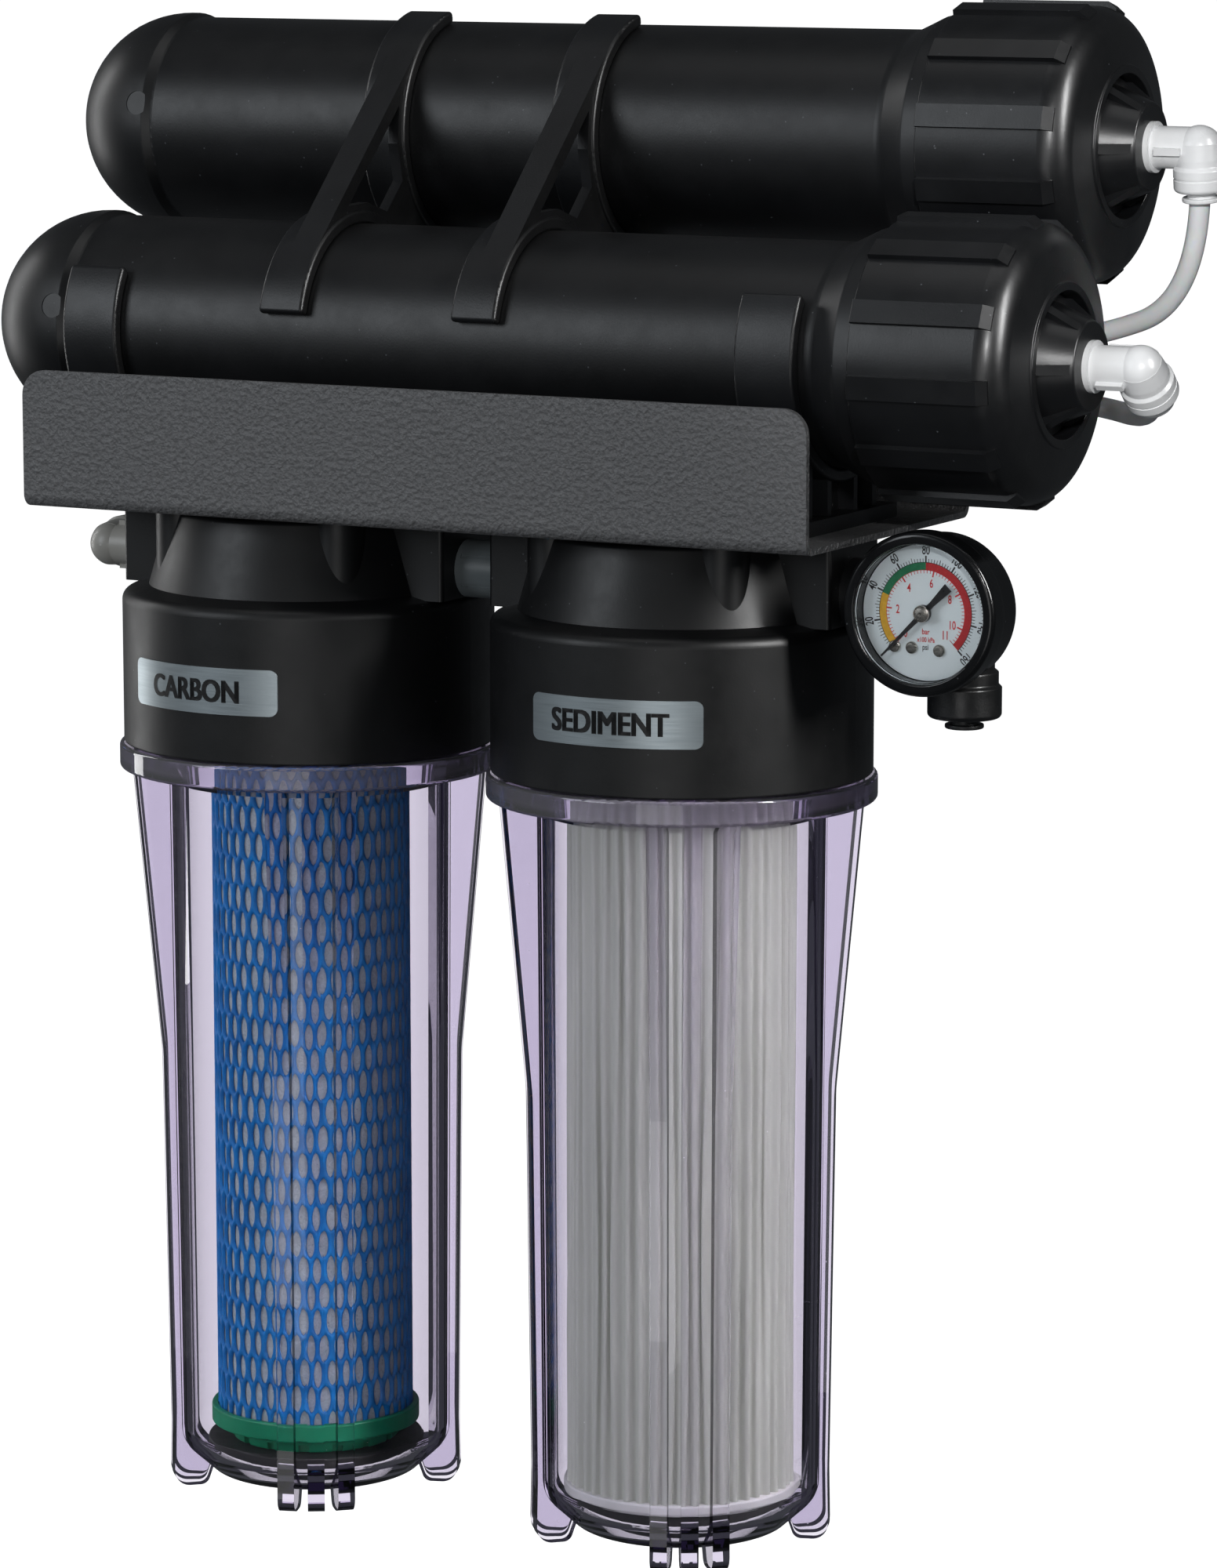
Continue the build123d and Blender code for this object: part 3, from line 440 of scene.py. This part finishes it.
def make_hose(name, node, points, material):
    """Quarter-inch tube on a smooth line from fitting to fitting."""
    data = bpy.data.curves.new(name, "CURVE")
    data.dimensions = "3D"
    data.resolution_u = 24
    data.bevel_depth = TUBE_DIAMETER / 2
    data.bevel_resolution = 8
    data.use_fill_caps = True
    spline = data.splines.new("NURBS")
    spline.points.add(len(points) - 1)
    for knot, point in zip(spline.points, points):
        knot.co = (point[0] * MM, point[1] * MM, point[2] * MM, 1.0)
    spline.order_u = 3
    spline.use_endpoint_u = True
    hose = bpy.data.objects.new(name, data)
    bpy.context.scene.collection.objects.link(hose)
    data.materials.append(material)
    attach(hose, "frame")
    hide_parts(node)


# ---- carbon cartridge net -------------------------------------------------------------------------
NET_COLUMNS = 44
NET_ROW_PITCH = 8.5 * MM
NET_HOLE_HALF = (0.33, 4.4 * MM)  # half an opening's width, as a share of a column, and half its height


def make_net(material):
    """Extruded net: lens-shaped openings in staggered rows, with rounded strands between them."""
    low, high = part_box("carbon_net")
    centre = (low + high) / 2
    radius = (high.x - low.x) / 2
    pitch = math.tau / NET_COLUMNS
    rows = int((high.z - low.z) / NET_ROW_PITCH) + 1
    cell_half = 2 / 3 * NET_ROW_PITCH
    verts = []
    faces = []
    corners = {}

    def rim(angle, level, lift):
        """A shared point on the border between cells."""
        key = (round(angle / pitch * 12) % (12 * NET_COLUMNS), round(level / NET_ROW_PITCH * 12))
        if key not in corners:
            corners[key] = len(verts)
            level = min(max(level, low.z), high.z)
            verts.append(on_circle(centre, radius + lift, angle, level))
        return corners[key]

    for row in range(rows):
        middle_z = low.z + (row + 0.35) * NET_ROW_PITCH
        for column in range(NET_COLUMNS):
            middle_a = (column + 0.5 * (row % 2)) * pitch
            outline = [(0.5, -0.5), (0.5, 0), (0.5, 0.5), (0.25, 0.75), (0, 1), (-0.25, 0.75),
                       (-0.5, 0.5), (-0.5, 0), (-0.5, -0.5), (-0.25, -0.75), (0, -1), (0.25, -0.75)]
            outer = []
            for across, up in outline:
                outer.append(rim(middle_a + across * pitch, middle_z + up * cell_half, 0.1 * MM))
            width = NET_HOLE_HALF[0] * pitch * random.uniform(0.88, 1.06)
            height = NET_HOLE_HALF[1] * random.uniform(0.93, 1.03)
            shift_a = random.uniform(-0.03, 0.03) * pitch
            shift_z = random.uniform(-0.25, 0.25) * MM
            rings = []
            for share, lift in ((1.16, -0.12 * MM), (1.0, -0.85 * MM)):
                ring = []
                for across, up in outline:
                    turn = math.atan2(up * 0.8, across * 1.6)
                    slim = math.copysign(abs(math.cos(turn)) ** 1.15, math.cos(turn))
                    angle = middle_a + shift_a + slim * width * share
                    level = middle_z + shift_z + math.sin(turn) * height * (1 + (share - 1) * 0.4)
                    level = min(max(level, low.z), high.z)
                    ring.append(len(verts))
                    verts.append(on_circle(centre, radius + lift, angle, level))
                rings.append(ring)
            for inner, outside in ((rings[0], outer), (rings[1], rings[0])):
                for at in range(12):
                    after = (at + 1) % 12
                    faces.append((outside[at], outside[after], inner[after], inner[at]))
    net = add_mesh("carbon_net_strands", verts, faces)
    paint(net, material)
    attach(net, "carbon_canister")
    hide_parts("carbon_net")


# ---- sediment pleats ------------------------------------------------------------------------------
PLEATS = 52
PLEAT_LEVELS = 60
PLEAT_DEPTH = 2.2 * MM


def wander(amount):
    """A smooth random function of a height share from 0 to 1."""
    waves = 3
    terms = [(random.uniform(-1, 1) / (k + 1), random.uniform(0, math.tau), k + 0.6) for k in range(waves)]

    def value(share):
        return amount * sum(a * math.sin(math.pi * f * share + p) for a, p, f in terms)

    return value


def make_pleats(material):
    """Folded paper: rounded tips that lean and wander a little from fold to fold."""
    low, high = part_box("sediment_pleats")
    centre = (low + high) / 2
    radius = (high.x - low.x) / 2
    step = math.tau / PLEATS
    # one fold across: (share of the fold, share of the depth below the tip)
    section = [(-0.5, 1.0), (-0.4, 0.94), (-0.31, 0.66), (-0.22, 0.3), (-0.13, 0.07), (0.0, 0.0),
               (0.13, 0.07), (0.22, 0.3), (0.31, 0.66), (0.4, 0.94)]
    leans = [wander(0.5) for _ in range(PLEATS)]
    dips = [random.uniform(0.0, 0.5) * MM for _ in range(PLEATS)]
    swells = [wander(0.7 * MM) for _ in range(PLEATS)]
    verts = []
    for level in range(PLEAT_LEVELS + 1):
        share = level / PLEAT_LEVELS
        hold = math.sin(math.pi * share) ** 0.35 if 0 < share < 1 else 0.0
        for fold in range(PLEATS):
            lean = leans[fold](share) * step * (0.25 + 0.75 * hold)
            dip = dips[fold] + abs(swells[fold](share)) * hold
            for across, drop in section:
                angle = (fold + across) * step + lean * (1 - drop)
                reach = radius - dip * (1 - drop) - PLEAT_DEPTH * drop
                verts.append(on_circle(centre, reach, angle, low.z + share * (high.z - low.z)))
    faces = lattice_faces(PLEAT_LEVELS + 1, PLEATS * len(section))
    pleats = add_mesh("sediment_paper", verts, faces)
    paint(pleats, material)
    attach(pleats, "sediment_canister")
    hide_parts("sediment_pleats")


# ---- lettering ------------------------------------------------------------------------------------
def flat_text(text, height, squeeze, weight):
    """Vertices and faces of a word, its capitals of the given height, centred on (0, 0)."""
    data = bpy.data.curves.new("text", "FONT")
    data.body = text
    data.size = 1.0
    data.offset = weight
    data.resolution_u = 4
    carrier = bpy.data.objects.new("text", data)
    bpy.context.scene.collection.objects.link(carrier)
    bpy.context.view_layer.update()
    mesh = bpy.data.meshes.new_from_object(carrier)
    bpy.data.objects.remove(carrier)
    points = [vertex.co.copy() for vertex in mesh.vertices]
    faces = [tuple(polygon.vertices) for polygon in mesh.polygons]
    bpy.data.meshes.remove(mesh)
    left, right = min(p.x for p in points), max(p.x for p in points)
    bottom, top = min(p.y for p in points), max(p.y for p in points)
    scale = height / (top - bottom)
    middle_x, middle_y = (left + right) / 2, (bottom + top) / 2
    return [((p.x - middle_x) * scale * squeeze, (p.y - middle_y) * scale) for p in points], faces


class Print:
    """Flat shapes collected on one surface, then made into one piece."""

    def __init__(self):
        self.points = []
        self.faces = []

    def add(self, points, faces):
        start = len(self.points)
        self.points.extend(points)
        self.faces.extend(tuple(start + at for at in face) for face in faces)

    def arc(self, inner, outer, start, end, steps=48):
        points = []
        for step in range(steps + 1):
            angle = math.radians(start + (end - start) * step / steps)
            for reach in (inner, outer):
                points.append((reach * math.cos(angle), reach * math.sin(angle)))
        self.add(points, [(2 * k, 2 * k + 1, 2 * k + 3, 2 * k + 2) for k in range(steps)])

    def tick(self, inner, outer, angle, width):
        turn = math.radians(angle)
        c, s = math.cos(turn), math.sin(turn)
        points = []
        for reach, side in ((inner, -1), (inner, 1), (outer, 1), (outer, -1)):
            half = side * width / 2
            points.append((reach * c - half * s, reach * s + half * c))
        self.add(points, [(0, 1, 2, 3)])

    def word(self, text, height, at, turn=0.0, squeeze=0.8, weight=0.0):
        points, faces = flat_text(text, height, squeeze, weight)
        c, s = math.cos(math.radians(turn)), math.sin(math.radians(turn))
        self.add([(at[0] + x * c - y * s, at[1] + x * s + y * c) for x, y in points], faces)

    def make(self, name, place, material):
        piece = add_mesh(name, [place(u, v) for u, v in self.points], self.faces, smooth=False)
        paint(piece, material)
        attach(piece, "frame")


LABEL_WORD_RADIUS = 59.45 * MM  # just outside the foil
LABEL_LETTER_HEIGHT = 6.8 * MM


def make_label_word(name, text, label, head, bearing, shift, material):
    """A word on a foil label, bent round the head and made bold by drawing it at eight small offsets."""
    centre = middle_of(head)
    level = middle_of(label).z

    def place(u, v):
        angle = math.radians(bearing) + (u + shift) / LABEL_WORD_RADIUS
        return on_circle(centre, LABEL_WORD_RADIUS, angle, level + v)

    ink = Print()
    for across in (-0.36, -0.12, 0.12, 0.36):
        for up in (-0.17, 0.17):
            ink.word(text, LABEL_LETTER_HEIGHT, (across * MM, up * MM), squeeze=0.86)
    ink.make(name, place, material)


PSI_PER_BAR = 14.5038
FULL_SCALE = 160  # psi
DIAL_START, DIAL_SWEEP = 225.0, 270.0  # degrees


def dial_angle(psi):
    """Bearing of a pressure on the dial, in degrees from its right."""
    return DIAL_START - DIAL_SWEEP * psi / FULL_SCALE


def on_dial(reach, angle):
    """A point on the dial at a distance from its centre and a bearing in degrees."""
    return (reach * math.cos(math.radians(angle)), reach * math.sin(math.radians(angle)))


def make_dial_print():
    """Scales, colour bands and numbers on the gauge's dial."""
    centre = middle_of("gauge_bezel")
    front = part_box("gauge_dial")[0].y

    def layer(lift):
        return lambda u, v: (centre.x + u, front - lift * MM, centre.z + v)

    for name, start, end, colour in (("yellow", 0, 39, rgb(0.55, 0.3, 0.01)),
                                     ("green", 39, 80, rgb(0.0, 0.13, 0.05)),
                                     ("red", 80, FULL_SCALE, rgb(0.36, 0.006, 0.009))):
        band = Print()
        band.arc(12.7 * MM, 14.9 * MM, dial_angle(start), dial_angle(end))
        band.make("dial_band_" + name, layer(0.05), printed("ink_" + name, colour))
    black = Print()
    black.arc(14.85 * MM, 15.02 * MM, dial_angle(0), dial_angle(FULL_SCALE), 120)
    for psi in range(0, FULL_SCALE + 1, 2):
        major = psi % 20 == 0
        middle = psi % 10 == 0
        reach = 16.9 if major else 16.5 if middle else 16.05
        black.tick(14.9 * MM, reach * MM, dial_angle(psi), (0.5 if major else 0.2) * MM)
    for psi in range(20, FULL_SCALE + 1, 20):
        angle = dial_angle(psi)
        black.word(str(psi), 2.75 * MM, on_dial(18.6 * MM, angle), angle - 90, 0.68, 0.014)
    black.word("psi", 2.2 * MM, (0.1 * MM, -10.5 * MM), 0, 0.75, 0.012)
    black.make("dial_black_print", layer(0.07), printed("ink_black", rgb(0.008, 0.008, 0.01)))
    red = Print()
    red.arc(12.58 * MM, 12.72 * MM, dial_angle(0), dial_angle(FULL_SCALE), 120)
    for fifth in range(0, 56):
        major = fifth % 10 == 0
        angle = dial_angle(fifth / 5 * PSI_PER_BAR)
        red.tick((10.9 if major else 11.7) * MM, 12.7 * MM, angle, (0.45 if major else 0.2) * MM)
    red.tick(11.0 * MM, 12.7 * MM, dial_angle(159.5), 0.2 * MM)
    for bar in (0, 2, 4, 6, 8, 10, 11):
        reach = (9.4 if bar == 10 else 9.0) * MM
        red.word(str(bar), 2.6 * MM, on_dial(reach, dial_angle(bar * PSI_PER_BAR)), 0, 0.68, 0.014)
    red.word("bar", 1.7 * MM, (0.2 * MM, -5.6 * MM), 0, 0.8, 0.014)
    red.word("x100 kPa", 1.5 * MM, (0.2 * MM, -8.0 * MM), 0, 0.75, 0.014)
    red.make("dial_red_print", layer(0.06), printed("ink_scale_red", rgb(0.5, 0.01, 0.012)))


def make_needle_cap(material):
    """Domed bright cap over the needle's hub."""
    centre = middle_of("gauge_bezel")
    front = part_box("gauge_needle")[0].y
    # its outline from rim to centre: (radius, height), in millimetres
    rings = [(2.55, 0.05), (2.5, 0.35), (2.3, 0.7), (1.9, 1.0), (1.3, 1.2), (0.7, 1.3), (0.34, 1.32),
             (0.3, 1.1), (0.0, 1.05)]
    around = 40
    seat = 0.2  # the cap's rim sits this far behind the needle's front face
    verts = []
    for reach, lift in rings:
        for step in range(around):
            angle = math.tau * step / around
            verts.append((centre.x + reach * MM * math.cos(angle), front + (seat - lift) * MM,
                          centre.z + reach * MM * math.sin(angle)))
    cap = add_mesh("needle_cap", verts, lattice_faces(len(rings), around))
    paint(cap, material)
    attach(cap, "needle")


# ---- stage ----------------------------------------------------------------------------------------
FLOOR_BELOW = 0.45


def make_floor():
    """Plain pale floor well below the hanging unit."""
    size = 30.0
    level = cad_box[0].z - FLOOR_BELOW
    corners = [(-size, -size, level), (size, -size, level), (size, size, level), (-size, size, level)]
    floor = add_mesh("floor", corners, [(0, 1, 2, 3)], smooth=False)
    look = Look("floor_white", Roughness=0.8, Emission_Strength=1.02)
    look.shader.inputs["Emission Color"].default_value = grey(1.0)
    look.feed(look.ramp(look.noise(3, 2), (0.3, grey(0.8)), (0.7, grey(0.83))), "Base Color")
    paint(floor, look.material)
    floor.visible_glossy = False
    floor.visible_diffuse = False
    floor.visible_transmission = False


def make_world():
    """White surroundings for the camera and straight through the bowls, dim ones for reflections."""
    world = bpy.data.worlds.new("studio")
    world.use_nodes = True
    tree = world.node_tree
    tree.nodes.clear()
    path = tree.nodes.new("ShaderNodeLightPath").outputs

    def combine(operation, first, second):
        """One maths step on two outputs, the second of which may be a number."""
        node = tree.nodes.new("ShaderNodeMath")
        node.operation = operation
        tree.links.new(first, node.inputs[0])
        if isinstance(second, float):
            node.inputs[1].default_value = second
        else:
            tree.links.new(second, node.inputs[1])
        return node.outputs["Value"]

    def background(colour, strength):
        node = tree.nodes.new("ShaderNodeBackground")
        node.inputs["Color"].default_value = colour
        node.inputs["Strength"].default_value = strength
        return node.outputs["Background"]

    bounces = combine("ADD", path["Diffuse Depth"], path["Glossy Depth"])
    unbounced = combine("LESS_THAN", bounces, 0.5)
    through = combine("MULTIPLY", path["Is Transmission Ray"], unbounced)
    seen = combine("MAXIMUM", path["Is Camera Ray"], through)
    mixed = tree.nodes.new("ShaderNodeMixShader")
    out = tree.nodes.new("ShaderNodeOutputWorld")
    tree.links.new(seen, mixed.inputs[0])
    tree.links.new(background(rgb(0.86, 0.93, 1.0), 0.06), mixed.inputs[1])
    tree.links.new(background(grey(1.0), 1.05), mixed.inputs[2])
    tree.links.new(mixed.outputs["Shader"], out.inputs["Surface"])
    bpy.context.scene.world = world


def place_light(name, data, location, aim, power, colour):
    """Put a lamp in the scene, hidden from the camera and from rays through the bowls."""
    data.energy = power
    data.color = colour
    light = bpy.data.objects.new(name, data)
    light.location = location
    light.rotation_mode = "QUATERNION"
    light.rotation_quaternion = (Vector(aim) - Vector(location)).to_track_quat("-Z", "Y")
    light.visible_camera = False
    light.visible_transmission = False
    bpy.context.scene.collection.objects.link(light)
    return light


def add_softbox(name, location, aim, size, power, colour=(1.0, 1.0, 1.0)):
    """A rectangular area lamp."""
    data = bpy.data.lights.new(name, "AREA")
    data.shape = "RECTANGLE"
    data.size, data.size_y = size
    return place_light(name, data, location, aim, power, colour)


def make_lights():
    """Cool key from the left, neutral fills, a strip for the rounded edges, and a spot on the elbows."""
    aim = (cad_box[0] + cad_box[1]) / 2
    add_softbox("key", (-1.35, -2.0, 0.75), aim, (1.0, 1.2), 16.0, (0.9, 0.95, 1.0))
    add_softbox("front_fill", (0.7, -2.5, -0.2), aim, (1.2, 1.6), 8.0)
    add_softbox("top", (0.1, -0.3, 1.7), aim, (1.6, 0.9), 4.0)
    add_softbox("left_strip", (-1.9, 0.1, 0.2), aim, (0.4, 1.6), 10.0)
    # the right strip gives glossy highlights only
    strip = add_softbox("right_strip", (1.8, -0.35, 0.8), aim, (0.2, 1.0), 44.0)
    strip.visible_diffuse = False
    spot = bpy.data.lights.new("elbow_spot", "SPOT")
    spot.spot_size = math.radians(11)
    spot.spot_blend = 0.8
    spot.shadow_soft_size = 0.05
    between_elbows = (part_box("lower_elbow")[0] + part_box("upper_elbow")[1]) / 2
    place_light("elbow_spot", spot, (0.75, -1.1, 0.4), between_elbows, 42.0, (1.0, 1.0, 1.0))


# ---- build ----------------------------------------------------------------------------------------
make_camera()
finish_cad()
tube_look = soft_tubing()
make_hose("lower_permeate_tube", "lower_hose", LOWER_HOSE, tube_look)
make_hose("upper_permeate_tube", "upper_hose", UPPER_HOSE, tube_look)
make_hose("feed_tube", "feed_hose", FEED_HOSE, tube_look)
make_net(net_plastic())
make_pleats(paper())
label_ink = printed("label_ink", rgb(0.006, 0.006, 0.007), 0.45)
make_label_word("carbon_word", "CARBON", "carbon_label", "carbon_head", -96.0, -1.0 * MM, label_ink)
make_label_word("sediment_word", "SEDIMENT", "sediment_label", "sediment_head", -84.0, -1.0 * MM, label_ink)
make_dial_print()
make_needle_cap(metal("hub_metal", rgb(0.6, 0.57, 0.52), (0.2, 0.32)))
make_floor()
make_world()
make_lights()
bpy.context.scene.view_settings.view_transform = "Standard"
